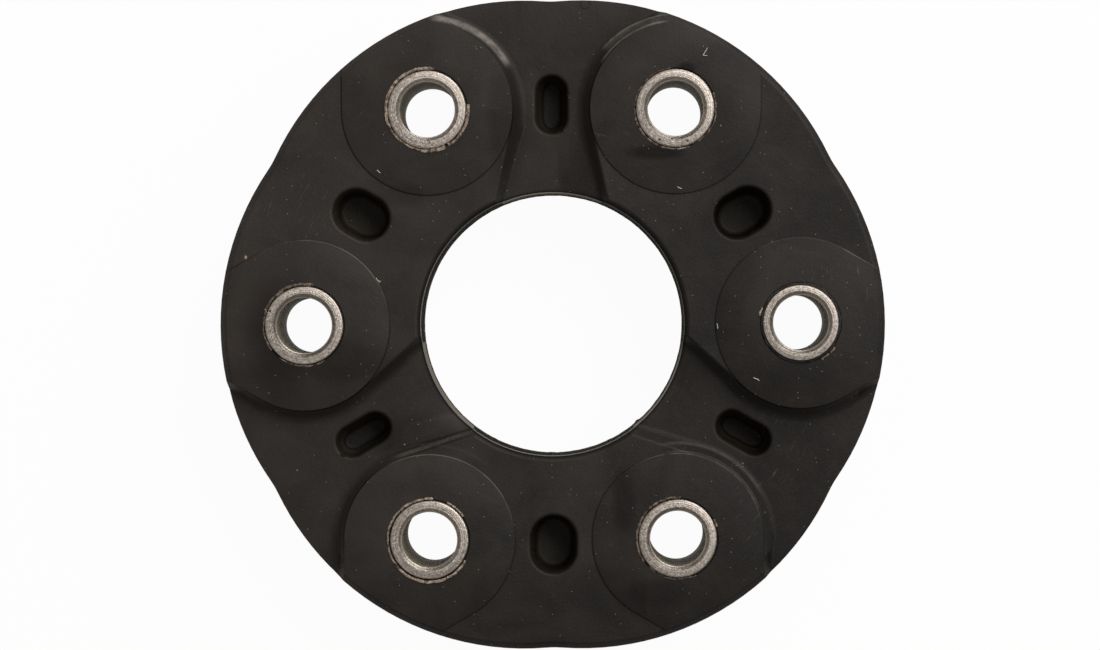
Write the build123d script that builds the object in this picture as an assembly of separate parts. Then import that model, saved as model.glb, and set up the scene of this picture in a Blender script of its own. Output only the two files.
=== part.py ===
from build123d import *
import math
import os

# A six-bush rubber flex disc. Lengths are in millimetres and angles in degrees.
# The origin is the disc's centre, halfway through its thickness, and +Z leaves the front face.
# One boss lies on the +X axis. Between the bosses, the sectors are raised on the front and on
# the back in turn, so the back half is the front half turned over about the X axis.

# Bushes
boss_count = 6
pitch_circle_diameter = 105.0
bush_length = 34.0
bush_bore_diameter = 12.1
bush_wall = 2.25

# Cord windings
winding_thickness = 6.7

# Rubber over the steel and the cord
end_cover = 2.7
side_cover = 3.1
rim_cover = 2.85
hole_cover = 2.75

# Levels of the faces
bush_stand_out = 0.8
recess_depth = 4.5

# Rim and centre hole
outline_arc_radius = 58.1
outline_blend_radius = 20.0
rim_bevel = 1.1
hole_bevel = 1.1

# Step wall between a boss and a recessed sector
outward_flank_angle = 30.0
inward_flank_angle = 42.0
step_slope = 20.0

# Blind pockets, longer along the disc's radius than across it
pocket_shift = 1.1
wide_pocket_width = 9.8
wide_pocket_length = 12.4
wide_pocket_depth = 12.0
narrow_pocket_width = 6.8
narrow_pocket_length = 12.4
narrow_pocket_depth = 9.0

# Radii that follow
boss_angle = 360.0 / boss_count
half_boss_angle = math.radians(boss_angle / 2)
pitch_radius = pitch_circle_diameter / 2
bore_radius = bush_bore_diameter / 2
bush_radius = bore_radius + bush_wall
winding_radius = bush_radius + winding_thickness
boss_radius = winding_radius + side_cover
lobe_foot_radius = boss_radius + recess_depth * math.tan(math.radians(step_slope))

# The middle of a sector is the middle of the chord between its two bushes.
chord_distance = pitch_radius * math.cos(half_boss_angle)
chord_length = 2 * pitch_radius * math.sin(half_boss_angle)
pocket_distance = chord_distance + pocket_shift
hole_radius = chord_distance - winding_radius - hole_cover
rim_radius = pitch_radius + winding_radius + rim_cover
outline_arc_distance = rim_radius - outline_arc_radius

# Heights above the middle plane
bush_level = bush_length / 2
face_level = bush_level - bush_stand_out
recess_level = face_level - recess_depth
winding_level = face_level - end_cover

# Blanks run past the finished rim and hole by this much, and are cut back to them.
blank_allowance = 1.0

turned_over = Rot(180, 0, 0)


def boss_places(distance=pitch_radius):
    """One place for each boss, with its X axis pointing away from the disc's centre."""
    return [Rot(0, 0, i * boss_angle) * Pos(distance, 0, 0) for i in range(boss_count)]


def sector_turns(raised):
    """The turn to the middle of each sector that is raised, or recessed, on the front."""
    first = 0.5 if raised else 1.5
    return [Rot(0, 0, (first + i) * boss_angle) for i in range(0, boss_count, 2)]


def flanks(radius, flank_angle, side):
    """The triangle between a circle and its two tangents that meet on the boss's radial line."""
    lean = math.radians(flank_angle)
    apex = (side * radius / math.sin(lean), 0)
    touch_x = side * radius * math.sin(lean)
    touch_y = radius * math.cos(lean)
    return make_face(Polyline(apex, (touch_x, touch_y), (touch_x, -touch_y), close=True))


def lobe_outline(radius):
    """A boss's footprint: a circle that closes in along straight flanks to the rim and hole."""
    outward = flanks(radius, outward_flank_angle, 1)
    return Circle(radius) + outward + flanks(radius, inward_flank_angle, -1)


def wedge_outline():
    """The triangle between the radial lines of two neighbouring bosses, past the rim."""
    reach = 2 * rim_radius
    half_width = reach * math.tan(half_boss_angle)
    return make_face(Polyline((0, 0), (reach, -half_width), (reach, half_width), close=True))


def rim_outline():
    """Six shallow arcs, one round each boss, blended where they meet."""
    arcs = Sketch() + [place * Circle(outline_arc_radius) for place in boss_places(outline_arc_distance)]
    return fillet(arcs.vertices(), outline_blend_radius)


def bevelled_ring(level):
    """The disc's upper half up to one face level, bevelled at the rim and the centre hole."""
    ring = extrude(rim_outline() - Circle(hole_radius), amount=level)
    face = ring.faces().sort_by(Axis.Z)[-1]
    ring = chamfer(face.outer_wire().edges(), rim_bevel)
    face = ring.faces().sort_by(Axis.Z)[-1]
    return chamfer(face.inner_wires()[0].edges(), hole_bevel)


def recesses():
    """The three sunken sectors, between the sloping step walls of their bosses."""
    wedge = extrude(wedge_outline(), amount=recess_depth)
    lobe = extrude(lobe_outline(lobe_foot_radius), amount=recess_depth, taper=step_slope)
    wedges = Part() + [turn * wedge for turn in sector_turns(raised=False)]
    return Pos(0, 0, recess_level) * (wedges - [place * lobe for place in boss_places()])


def pocket(width, length, depth):
    """A blind pocket's core, hanging down from its mouth."""
    return extrude(SlotOverall(length, width), amount=-depth)


def upper_half():
    """The rubber above the middle plane, without its seats for the steel and the cord."""
    cut = recesses()
    half = bevelled_ring(face_level) - cut
    half += bevelled_ring(recess_level)
    wide = pocket(wide_pocket_width, wide_pocket_length, wide_pocket_depth)
    narrow = pocket(narrow_pocket_width, narrow_pocket_length, narrow_pocket_depth)
    for raised, level, core in ((True, face_level, wide), (False, recess_level, narrow)):
        half -= [turn * Pos(pocket_distance, 0, level) * core for turn in sector_turns(raised)]
    return half


def bush():
    """A plain steel sleeve that stands a little proud of the rubber on both faces."""
    return Cylinder(bush_radius, bush_length) - Cylinder(bore_radius, bush_length)


def winding():
    """Cord wound round two neighbouring bushes, as one flat-sided band."""
    band = SlotCenterToCenter(chord_length, 2 * winding_radius, 90)
    band -= SlotCenterToCenter(chord_length, 2 * bush_radius, 90)
    return Pos(chord_distance, 0, 0) * extrude(band, amount=winding_level)


def build_parts():
    """Every piece of the disc by its node name."""
    parts = {}
    for i, place in enumerate(boss_places(), start=1):
        parts[f"bush_{i}"] = place * bush()
    for i, turn in enumerate(sector_turns(raised=True), start=1):
        parts[f"front_winding_{i}"] = turn * winding()
    for i, turn in enumerate(sector_turns(raised=False), start=1):
        parts[f"back_winding_{i}"] = turn * turned_over * winding()

    half = upper_half()
    body = half + turned_over * half
    seat = Cylinder(bush_radius, bush_length)
    body -= [place * seat for place in boss_places()]
    body -= [piece for name, piece in parts.items() if not name.startswith("bush")]
    parts["rubber_body"] = body
    return parts


def main():
    os.makedirs("parts", exist_ok=True)
    for name, piece in build_parts().items():
        export_step(piece, f"parts/{name}.step")


main()
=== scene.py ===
import math

import bmesh
import bpy
from mathutils import Matrix, Vector, noise


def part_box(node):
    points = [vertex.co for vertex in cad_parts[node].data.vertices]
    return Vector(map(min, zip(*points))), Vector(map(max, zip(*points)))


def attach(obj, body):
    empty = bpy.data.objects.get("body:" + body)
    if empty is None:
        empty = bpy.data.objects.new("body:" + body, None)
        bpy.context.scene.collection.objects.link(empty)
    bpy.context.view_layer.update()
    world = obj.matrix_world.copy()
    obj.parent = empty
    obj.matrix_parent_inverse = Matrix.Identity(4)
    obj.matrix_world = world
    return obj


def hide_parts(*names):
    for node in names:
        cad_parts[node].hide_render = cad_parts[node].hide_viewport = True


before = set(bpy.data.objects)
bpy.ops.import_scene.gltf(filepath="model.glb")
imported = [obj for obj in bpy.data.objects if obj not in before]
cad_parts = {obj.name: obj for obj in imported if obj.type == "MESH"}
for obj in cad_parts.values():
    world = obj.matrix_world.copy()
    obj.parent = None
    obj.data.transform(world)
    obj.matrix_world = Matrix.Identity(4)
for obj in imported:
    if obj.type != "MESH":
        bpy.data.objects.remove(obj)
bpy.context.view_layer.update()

# A six-bush rubber flex disc, lying flat and seen straight from above.
# Everything is in metres in the CAD's frame; the values written as 8.3 * mm are millimetres.
mm = 0.001

bushNames = [f"bush_{i}" for i in range(1, 7)]
windingNames = [f"{side}_winding_{i}" for side in ("front", "back") for i in range(1, 4)]


def middleOf(node):
    low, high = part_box(node)
    return (low + high) / 2


bushCentres = [middleOf(name) for name in bushNames]
bushRadius = (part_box("bush_1")[1].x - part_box("bush_1")[0].x) / 2
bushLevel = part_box("bush_1")[1].z
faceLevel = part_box("rubber_body")[1].z
pitchRadius = bushCentres[0].x

disc = {
    "recessDepth": 4.5 * mm,
    "bossRadius": 18.1 * mm,
    "holeRadius": 27.72 * mm,
    "outwardFlank": 30,      # degrees from the boss's radial line
    "pocketDistance": 46.57 * mm,
    "widePocket": (9.8 * mm, 12.4 * mm, 12 * mm),      # width, length, depth
    "narrowPocket": (6.8 * mm, 12.4 * mm, 9 * mm),
}
recessLevel = faceLevel - disc["recessDepth"]


# Small helpers

def linearColour(hexCode):
    channels = [int(hexCode[i:i + 2], 16) / 255 for i in (1, 3, 5)]
    return tuple(c / 12.92 if c <= 0.04045 else ((c + 0.055) / 1.055) ** 2.4 for c in channels) + (1.0,)


def addNode(tree, kind, settings=None, links=None):
    # settings are node attributes or input values, links are input -> output socket
    node = tree.nodes.new(kind)
    for key, value in (settings or {}).items():
        if isinstance(key, str) and hasattr(node, key):
            setattr(node, key, value)
        else:
            node.inputs[key].default_value = value
    for key, socket in (links or {}).items():
        tree.links.new(socket, node.inputs[key])
    return node


def newMaterial(name):
    material = bpy.data.materials.new(name)
    material.use_nodes = True
    material.node_tree.nodes.clear()
    return material, material.node_tree


def addPiece(name, mesh, material, sharpAngle=None):
    mesh.normal_update()
    data = bpy.data.meshes.new(name)
    mesh.to_mesh(data)
    mesh.free()
    piece = bpy.data.objects.new(name, data)
    bpy.context.scene.collection.objects.link(piece)
    data.materials.append(material)
    data.shade_smooth()
    if sharpAngle is not None:
        data.set_sharp_from_angle(angle=math.radians(sharpAngle))
    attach(piece, "root")
    return piece


# Camera: about a metre above the front face, a little right of the disc's centre

camera = {
    "aim": (-0.5 * mm, -0.2 * mm, 17 * mm),
    "place": (11.7 * mm, 1.5 * mm, 1040 * mm),
    "roll": 0.325,           # degrees, right side of the disc up
    "lens": 158.5,
}
cameraData = bpy.data.cameras.new("Camera")
cameraData.lens = camera["lens"]
cameraData.sensor_width = 36
cameraData.clip_start = 0.05
cameraData.clip_end = 20
cameraObject = bpy.data.objects.new("Camera", cameraData)
bpy.context.scene.collection.objects.link(cameraObject)
bpy.context.scene.camera = cameraObject

backward = (Vector(camera["place"]) - Vector(camera["aim"])).normalized()
roll = math.radians(camera["roll"])
imageUp = Vector((math.sin(roll), math.cos(roll), 0))
imageUp = (imageUp - imageUp.dot(backward) * backward).normalized()
imageRight = imageUp.cross(backward)
turn = Matrix((imageRight, imageUp, backward)).transposed().to_4x4()
cameraObject.matrix_world = Matrix.Translation(camera["place"]) @ turn
print("camera placed")


# Materials

rubberLook = {
    "dark": "#120e0a",
    "light": "#1f1812",
    "padLineWidth": 0.24 * mm,   # dirt and painted shade lying along the foot of the boss pads
    "hazeAndPaintedLightTone": "#453d36",
    "pocketTone": "#5a5245",
    "scuffAndHighlightTone": "#7d766f",
    "releaseTone": "#343431",
    "dustTone": "#a39c92",
    "oilTone": "#050403",
    "paintedHoleShadeTone": "#0b0908",
    "holeEdgeLineTone": "#7f786e",
    "padDirtAndShadeTone": "#0d0b0a",
    # spacing and radius of the specks in millimetres, and the share of places left clean
    "dust": ((1.3, 0.12, 0.66), (4.5, 0.19, 0.9)),
}
# light scuffs, and painted highlights on step walls that face the light: bush number, inner and outer
# radius from its centre in millimetres, start and end angle, strength
scuffsAndHighlights = [
    (3, 18.5, 20.5, 26, 90, 1.0),
    (2, 18.1, 18.8, 92, 150, 0.6),
    (2, 19.6, 20.3, 92, 142, 0.5),
    (2, 18.5, 20.2, 96, 142, 0.22),
    (6, 18.1, 18.7, 15, 104, 0.2),
    (6, 19.6, 20.6, 24, 104, 0.18),
    (5, 19.6, 20.5, 48, 120, 0.06),
]
# single marks, in millimetres
marks = {
    "crumb": (-64.8, 14.5, 16.5),
    "crumbCoats": ((0.55, "#6e4525"), (0.42, "#cbb49e")),     # radius and tone
    "vent": (7.25, 67.85),
    "ventRadius": 1.0,
    "ventTone": "#0a0807",
}
# straight painted highlights along the step flanks: two ends and half width in millimetres, strength
highlightStreaks = [
    ((-35.0, -28.5), (-16.0, -22.3), 0.6, 0.3),
]
# darker oily stains: middle and half sizes in millimetres, and strength
stains = [
    ((22.5, 36.2), (7.5, 2.0), 0.6),
    ((28.6, 53.8), (2.6, 1.6), 0.6),
    ((27.5, 44.0), (13.0, 13.0), 0.25),
    ((-26.0, 44.0), (15.0, 15.0), 0.2),
    ((-57.5, -2.0), (9.0, 16.0), 0.5),
    ((-9.5, 43.0), (5.0, 16.0), 0.38),
    ((-31.0, 27.5), (6.0, 3.0), 0.25),
    ((-44.0, -8.0), (12.0, 6.0), 0.45),
    ((52.0, -12.0), (10.0, 5.0), 0.2),
    ((15.0, -38.0), (3.0, 9.0), 0.4),
    ((22.0, -57.0), (9.0, 4.0), 0.4),
    ((-29.0, -23.5), (12.0, 5.0), 0.45),
    ((37.0, 22.0), (6.0, 5.0), 0.3),
    ((45.0, -38.0), (34.0, 34.0), 0.16),
    ((0.0, -62.0), (30.0, 14.0), 0.25),
    ((-5.0, 60.0), (26.0, 9.0), 0.15),
]


def bossFrame(tree):
    # turns every boss onto one, so that one pattern serves all six
    place = addNode(tree, "ShaderNodeTexCoord").outputs["Object"]
    flat = addNode(tree, "ShaderNodeVectorMath", {"operation": "MULTIPLY", 1: (1, 1, 0)}, {0: place}).outputs[0]
    radius = addNode(tree, "ShaderNodeVectorMath", {"operation": "LENGTH"}, {0: flat}).outputs["Value"]
    parts = addNode(tree, "ShaderNodeSeparateXYZ", links={0: place}).outputs
    angle = addNode(tree, "ShaderNodeMath", {"operation": "ARCTAN2"}, {0: parts["Y"], 1: parts["X"]}).outputs[0]
    within = addNode(tree, "ShaderNodeMath", {"operation": "WRAP", 1: math.pi / 6, 2: -math.pi / 6},
                     {0: angle}).outputs[0]
    cosine = addNode(tree, "ShaderNodeMath", {"operation": "COSINE"}, {0: within}).outputs[0]
    sine = addNode(tree, "ShaderNodeMath", {"operation": "SINE"}, {0: within}).outputs[0]
    out = addNode(tree, "ShaderNodeMath", {"operation": "MULTIPLY_ADD", 2: -pitchRadius},
                  {0: radius, 1: cosine}).outputs[0]
    across = addNode(tree, "ShaderNodeMath", {"operation": "MULTIPLY"}, {0: radius, 1: sine}).outputs[0]
    across = addNode(tree, "ShaderNodeMath", {"operation": "ABSOLUTE"}, {0: across}).outputs[0]
    fromBush = addNode(tree, "ShaderNodeCombineXYZ", links={"X": out, "Y": across}).outputs[0]
    distance = addNode(tree, "ShaderNodeVectorMath", {"operation": "LENGTH"}, {0: fromBush}).outputs["Value"]
    height = addNode(tree, "ShaderNodeMath", {"operation": "ABSOLUTE"}, {0: parts["Z"]}).outputs[0]
    front = addNode(tree, "ShaderNodeMath", {"operation": "GREATER_THAN", 1: 0.0}, {0: parts["Z"]}).outputs[0]
    # how far north-east of its bush a point lies, from -1 to 1
    bossAngle = addNode(tree, "ShaderNodeMath", {"operation": "SUBTRACT"}, {0: angle, 1: within}).outputs[0]
    bossPlace = addNode(tree, "ShaderNodeVectorRotate", {"rotation_type": "Z_AXIS", "Vector": (pitchRadius, 0, 0)},
                        {"Angle": bossAngle}).outputs[0]
    offset = addNode(tree, "ShaderNodeVectorMath", {"operation": "SUBTRACT"}, {0: flat, 1: bossPlace}).outputs[0]
    offset = addNode(tree, "ShaderNodeVectorMath", {"operation": "NORMALIZE"}, {0: offset}).outputs[0]
    northEast = addNode(tree, "ShaderNodeVectorMath", {"operation": "DOT_PRODUCT", 1: (0.4, 0.92, 0)},
                        {0: offset}).outputs["Value"]
    return {"place": place, "radius": radius, "angle": angle, "out": out, "fromBush": fromBush,
            "distance": distance, "height": height, "northEast": northEast, "front": front,
            "north": parts["Y"]}


def rubberMaterial():
    # Carbon-black natural rubber, compression moulded: matt charcoal, hazed by handling, with painted light toward
    # the upper left, painted shade in the hole and on the pads' lower edges, painted highlights on the pads' upper
    # edges and on steps facing the light, the witness line of the boss pads, grey scuffs on the steps, and dust.
    material, tree = newMaterial("moulded natural rubber")
    boss = bossFrame(tree)
    place = boss["place"]

    # pad edge: the circle round the bush, and the straight flanks outward to the rim
    lean = math.radians(disc["outwardFlank"])
    flank = addNode(tree, "ShaderNodeVectorMath", {"operation": "DOT_PRODUCT", 1: (math.sin(lean), math.cos(lean), 0)},
                    {0: boss["fromBush"]}).outputs["Value"]
    halfReach = addNode(tree, "ShaderNodeMath", {"operation": "MULTIPLY", 1: math.sin(lean)},
                        {0: boss["distance"]}).outputs[0]
    outward = addNode(tree, "ShaderNodeMath", {"operation": "GREATER_THAN"}, {0: boss["out"], 1: halfReach}).outputs[0]
    change = addNode(tree, "ShaderNodeMath", {"operation": "SUBTRACT"}, {0: flank, 1: boss["distance"]}).outputs[0]
    edge = addNode(tree, "ShaderNodeMath", {"operation": "MULTIPLY_ADD"},
                   {0: outward, 1: change, 2: boss["distance"]}).outputs[0]
    beyond = addNode(tree, "ShaderNodeMath", {"operation": "SUBTRACT", 1: disc["bossRadius"]}, {0: edge}).outputs[0]
    onFace = addNode(tree, "ShaderNodeMapRange", {"From Min": faceLevel - 1.3 * mm, "From Max": faceLevel - 1.1 * mm},
                     {"Value": boss["height"]}).outputs[0]

    # moulded grain, about half a millimetre, and softer waviness of a few millimetres
    grain = addNode(tree, "ShaderNodeTexNoise", {"Scale": 1600, "Detail": 5, "Roughness": 0.6},
                    {"Vector": place}).outputs["Fac"]
    waves = addNode(tree, "ShaderNodeTexNoise", {"Scale": 120, "Detail": 3}, {"Vector": place}).outputs["Fac"]
    grain = addNode(tree, "ShaderNodeMath", {"operation": "MULTIPLY", 1: 0.07}, {0: grain}).outputs[0]
    rough = addNode(tree, "ShaderNodeMath", {"operation": "MULTIPLY_ADD", 1: 0.12}, {0: waves, 2: grain}).outputs[0]
    bump = addNode(tree, "ShaderNodeBump", {"Strength": 1.0, "Distance": mm}, {"Height": rough})

    # base tone with a patchy bloom
    cloud = addNode(tree, "ShaderNodeTexNoise", {"Scale": 38, "Detail": 7, "Roughness": 0.62}, {"Vector": place})
    tone = addNode(tree, "ShaderNodeValToRGB", links={"Fac": cloud.outputs["Fac"]})
    tone.color_ramp.elements[0].position = 0.32
    tone.color_ramp.elements[0].color = linearColour(rubberLook["dark"])
    tone.color_ramp.elements[1].position = 0.7
    tone.color_ramp.elements[1].color = linearColour(rubberLook["light"])
    colour = tone.outputs["Color"]
    mottle = addNode(tree, "ShaderNodeTexNoise", {"Scale": 2600, "Detail": 3, "Roughness": 0.7}, {"Vector": place})
    mottle = addNode(tree, "ShaderNodeMapRange", {"From Min": 0.35, "From Max": 0.65, "To Min": 0.6, "To Max": 1.4},
                     {"Value": mottle.outputs["Fac"]}).outputs[0]
    colour = addNode(tree, "ShaderNodeVectorMath", {"operation": "SCALE"}, {0: colour, "Scale": mottle}).outputs[0]

    layers = []              # share and tone of each coat, laid over the base in this order

    # handling haze in smudges, with painted light brightening the disc toward the upper left, and settled dust in the
    # pockets
    hazeAndPaintedLight = addNode(tree, "ShaderNodeVectorMath", {"operation": "DOT_PRODUCT", 1: (-0.9, 0.35, 0)},
                   {0: place}).outputs["Value"]
    hazeAndPaintedLight = addNode(tree, "ShaderNodeMapRange", {"From Min": -60 * mm, "From Max": 60 * mm, "To Max": 0.31},
                   {"Value": hazeAndPaintedLight}).outputs[0]
    smudgeNoise = addNode(tree, "ShaderNodeTexNoise", {"Scale": 75, "Detail": 6, "Roughness": 0.65, "Distortion": 0.8},
                          {"Vector": place})
    smudge = addNode(tree, "ShaderNodeMapRange", {"From Min": 0.36, "From Max": 0.64, "To Min": -0.1, "To Max": 0.1},
                     {"Value": smudgeNoise.outputs["Fac"]}).outputs[0]
    hazeAndPaintedLight = addNode(tree, "ShaderNodeMath", {"operation": "ADD", "use_clamp": True}, {0: hazeAndPaintedLight, 1: smudge}).outputs[0]
    layers.append((hazeAndPaintedLight, rubberLook["hazeAndPaintedLightTone"]))
    deep = addNode(tree, "ShaderNodeMapRange", {"From Min": 8 * mm, "From Max": 4.5 * mm, "To Max": 0.3},
                   {"Value": boss["height"]}).outputs[0]
    widePocket = addNode(tree, "ShaderNodeMapRange", {"From Min": 3.2 * mm, "From Max": 3.9 * mm},
                         {"Value": boss["height"]}).outputs[0]
    pastHole = addNode(tree, "ShaderNodeMath", {"operation": "GREATER_THAN", 1: 35 * mm},
                       {0: boss["radius"]}).outputs[0]
    shortOfRim = addNode(tree, "ShaderNodeMath", {"operation": "LESS_THAN", 1: 58 * mm},
                         {0: boss["radius"]}).outputs[0]
    for mask in (widePocket, pastHole, shortOfRim):
        deep = addNode(tree, "ShaderNodeMath", {"operation": "MULTIPLY"}, {0: deep, 1: mask}).outputs[0]
    layers.append((deep, rubberLook["pocketTone"]))

    stained = None
    for middle, size, strength in stains:
        off = addNode(tree, "ShaderNodeVectorMath", {"operation": "SUBTRACT", 1: (middle[0] * mm, middle[1] * mm, 0)},
                      {0: place}).outputs[0]
        off = addNode(tree, "ShaderNodeVectorMath", {"operation": "MULTIPLY",
                      1: (1000 / size[0], 1000 / size[1], 0)}, {0: off}).outputs[0]
        off = addNode(tree, "ShaderNodeVectorMath", {"operation": "LENGTH"}, {0: off}).outputs["Value"]
        spot = addNode(tree, "ShaderNodeMapRange", {"interpolation_type": "SMOOTHSTEP", "From Min": 1.2,
                       "From Max": 0.4, "To Max": strength}, {"Value": off}).outputs[0]
        stained = spot if stained is None else addNode(tree, "ShaderNodeMath", {"operation": "MAXIMUM"},
                                                       {0: stained, 1: spot}).outputs[0]
    patchy = addNode(tree, "ShaderNodeMapRange", {"From Min": 0.3, "From Max": 0.52, "To Min": 0.25},
                     {"Value": cloud.outputs["Fac"]}).outputs[0]
    for mask in (patchy, boss["front"]):
        stained = addNode(tree, "ShaderNodeMath", {"operation": "MULTIPLY"}, {0: stained, 1: mask}).outputs[0]

    # steep walls come from the mould rougher than the faces, with grey release agent on the steps
    upright = addNode(tree, "ShaderNodeNewGeometry").outputs["Normal"]
    upright = addNode(tree, "ShaderNodeSeparateXYZ", links={0: upright}).outputs["Z"]
    upright = addNode(tree, "ShaderNodeMath", {"operation": "ABSOLUTE"}, {0: upright}).outputs[0]
    faced = addNode(tree, "ShaderNodeMapRange", {"From Min": 0.5, "From Max": 0.85, "To Min": 0.3},
                    {"Value": upright}).outputs[0]
    byBoss = addNode(tree, "ShaderNodeMath", {"operation": "LESS_THAN", 1: 20.2 * mm},
                     {0: boss["distance"]}).outputs[0]
    byHole = addNode(tree, "ShaderNodeMath", {"operation": "LESS_THAN", 1: 39.5 * mm}, {0: boss["radius"]}).outputs[0]
    onStep = addNode(tree, "ShaderNodeMath", {"operation": "MAXIMUM"}, {0: byBoss, 1: byHole}).outputs[0]
    inRim = addNode(tree, "ShaderNodeMath", {"operation": "LESS_THAN", 1: 66.5 * mm}, {0: boss["radius"]}).outputs[0]
    steep = addNode(tree, "ShaderNodeMapRange", {"From Min": 1.0, "From Max": 0.3, "To Max": 0.6},
                    {"Value": faced}).outputs[0]
    aboveRecess = addNode(tree, "ShaderNodeMapRange", {"From Min": 11.2 * mm, "From Max": 11.7 * mm},
                          {"Value": boss["height"]}).outputs[0]
    for mask in (inRim, steep, aboveRecess):
        onStep = addNode(tree, "ShaderNodeMath", {"operation": "MULTIPLY"}, {0: onStep, 1: mask}).outputs[0]
    layers.append((onStep, rubberLook["releaseTone"]))

    layers.append((stained, rubberLook["oilTone"]))

    # the hole's bevel is matt, and painted shade darkens it
    inHole = addNode(tree, "ShaderNodeMapRange", {"From Min": 28.9 * mm, "From Max": 28.2 * mm},
                     {"Value": boss["radius"]}).outputs[0]
    paintedHoleShade = addNode(tree, "ShaderNodeMath", {"operation": "MULTIPLY", 1: 0.75}, {0: inHole}).outputs[0]
    layers.append((paintedHoleShade, rubberLook["paintedHoleShadeTone"]))

    # a lighter line painted along the rounding just under the hole's edge
    holeEdgeLine = addNode(tree, "ShaderNodeMapRange", {"From Min": 28.02 * mm, "From Max": 27.94 * mm},
                         {"Value": boss["radius"]}).outputs[0]
    rounded = addNode(tree, "ShaderNodeMapRange", {"From Min": 0.04, "From Max": 0.15, "To Max": 0.9},
                      {"Value": upright}).outputs[0]
    for mask in (rounded, boss["front"]):
        holeEdgeLine = addNode(tree, "ShaderNodeMath", {"operation": "MULTIPLY"}, {0: holeEdgeLine, 1: mask}).outputs[0]
    layers.append((holeEdgeLine, rubberLook["holeEdgeLineTone"]))

    # dirt lying against the pad step, with painted shade making it darker on its lower side, away from the light
    beside = addNode(tree, "ShaderNodeMath", {"operation": "SUBTRACT", 1: 0.06 * mm}, {0: beyond}).outputs[0]
    beside = addNode(tree, "ShaderNodeMath", {"operation": "ABSOLUTE"}, {0: beside}).outputs[0]
    padDirtAndShade = addNode(tree, "ShaderNodeMapRange", {"From Min": rubberLook["padLineWidth"], "From Max": 0.06 * mm,
                   "To Max": 0.85}, {"Value": beside}).outputs[0]
    shadedSide = addNode(tree, "ShaderNodeMapRange", {"From Min": 0.62, "From Max": 0.3, "To Min": 0.1},
                        {"Value": boss["northEast"]}).outputs[0]
    for mask in (onFace, shadedSide):
        padDirtAndShade = addNode(tree, "ShaderNodeMath", {"operation": "MULTIPLY"}, {0: padDirtAndShade, 1: mask}).outputs[0]
    layers.append((padDirtAndShade, rubberLook["padDirtAndShadeTone"]))

    # a painted highlight along the pad's edge on its upper side, toward the light, but not on the two bosses at the
    # top
    edgeOff = addNode(tree, "ShaderNodeMath", {"operation": "ADD", 1: 0.1 * mm}, {0: beyond}).outputs[0]
    edgeOff = addNode(tree, "ShaderNodeMath", {"operation": "ABSOLUTE"}, {0: edgeOff}).outputs[0]
    padHighlight = addNode(tree, "ShaderNodeMapRange", {"From Min": 0.16 * mm, "From Max": 0.06 * mm},
                        {"Value": edgeOff}).outputs[0]
    litSide = addNode(tree, "ShaderNodeMapRange", {"From Min": 0.55, "From Max": 0.85, "To Max": 0.42},
                        {"Value": boss["northEast"]}).outputs[0]
    lowerHalf = addNode(tree, "ShaderNodeMath", {"operation": "LESS_THAN", 1: 24 * mm}, {0: boss["north"]}).outputs[0]
    broken = addNode(tree, "ShaderNodeMapRange", {"From Min": 0.4, "From Max": 0.55, "To Min": 0.2},
                     {"Value": smudgeNoise.outputs["Fac"]}).outputs[0]
    for mask in (litSide, lowerHalf, onFace, broken):
        padHighlight = addNode(tree, "ShaderNodeMath", {"operation": "MULTIPLY"}, {0: padHighlight, 1: mask}).outputs[0]
    layers.append((padHighlight, rubberLook["scuffAndHighlightTone"]))

    # scuffs and painted highlights on the step walls, broken up by flecks; none below the recessed sectors
    fleck = addNode(tree, "ShaderNodeTexNoise", {"Scale": 420, "Detail": 6, "Roughness": 0.75}, {"Vector": place})
    fleck = addNode(tree, "ShaderNodeMapRange", {"From Min": 0.3, "From Max": 0.56, "To Min": 0.15},
                    {"Value": fleck.outputs["Fac"]})
    scuffAndHighlight = None
    for number, inner, outer, start, end, strength in scuffsAndHighlights:
        centre = bushCentres[number - 1]
        off = addNode(tree, "ShaderNodeVectorMath", {"operation": "SUBTRACT", 1: (centre.x, centre.y, 0)},
                      {0: place}).outputs[0]
        off = addNode(tree, "ShaderNodeVectorRotate", {"rotation_type": "Z_AXIS",
                      "Angle": -math.radians((start + end) / 2)}, {"Vector": off}).outputs[0]
        sides = addNode(tree, "ShaderNodeSeparateXYZ", links={0: off}).outputs
        turned = addNode(tree, "ShaderNodeMath", {"operation": "ARCTAN2"}, {0: sides["Y"], 1: sides["X"]}).outputs[0]
        turned = addNode(tree, "ShaderNodeMath", {"operation": "ABSOLUTE"}, {0: turned}).outputs[0]
        half = math.radians((end - start) / 2)
        along = addNode(tree, "ShaderNodeMapRange", {"interpolation_type": "SMOOTHSTEP", "From Min": half,
                        "From Max": half * 0.7}, {"Value": turned}).outputs[0]
        level = addNode(tree, "ShaderNodeVectorMath", {"operation": "MULTIPLY", 1: (1, 1, 0)}, {0: off}).outputs[0]
        away = addNode(tree, "ShaderNodeVectorMath", {"operation": "LENGTH"}, {0: level}).outputs["Value"]
        away = addNode(tree, "ShaderNodeMath", {"operation": "SUBTRACT", 1: (inner + outer) / 2 * mm},
                       {0: away}).outputs[0]
        away = addNode(tree, "ShaderNodeMath", {"operation": "ABSOLUTE"}, {0: away}).outputs[0]
        over = addNode(tree, "ShaderNodeMapRange", {"interpolation_type": "SMOOTHSTEP",
                       "From Min": (outer - inner) / 2 * mm, "From Max": (outer - inner) / 8 * mm, "To Max": strength},
                       {"Value": away}).outputs[0]
        front = addNode(tree, "ShaderNodeMath", {"operation": "GREATER_THAN", 1: 11.3 * mm},
                        {0: sides["Z"]}).outputs[0]
        mask = addNode(tree, "ShaderNodeMath", {"operation": "MULTIPLY"}, {0: along, 1: over}).outputs[0]
        mask = addNode(tree, "ShaderNodeMath", {"operation": "MULTIPLY"}, {0: mask, 1: front}).outputs[0]
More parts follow.
